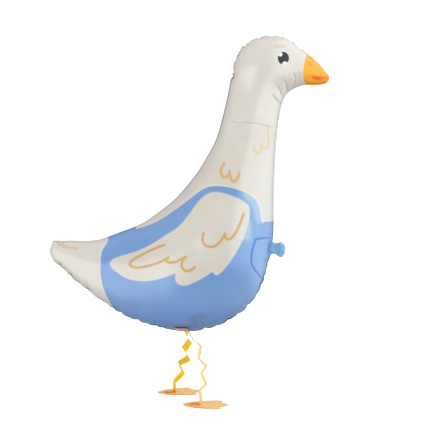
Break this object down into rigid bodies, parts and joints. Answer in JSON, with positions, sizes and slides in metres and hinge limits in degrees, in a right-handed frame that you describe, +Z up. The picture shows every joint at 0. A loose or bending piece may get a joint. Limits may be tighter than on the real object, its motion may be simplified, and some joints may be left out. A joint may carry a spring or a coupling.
{
  "type": "goose foil balloon",
  "caption": "Inflated foil goose balloon that stands on folded paper-strip legs with flat card feet, with a filling valve at the chest.",
  "frame": {"origin": "on the floor, under the middle of the balloon's length and width", "axes": "+Z up, +X the way the goose faces, +Y its left side"},
  "size_m": [0.6551, 0.2498, 0.8546],
  "materials": {
    "printed_film": "satin metallised film, printed off-white with a blue bib and trousers, yellow bill",
    "strip_paper": "coated yellow-orange paper strip",
    "foot_card": "peach coated card"
  },
  "bodies": {
    "root": {"balloon": "printed_film", "left_leg": "strip_paper", "right_leg": "strip_paper", "left_foot": "foot_card", "right_foot": "foot_card"}
  },
  "joints": []
}
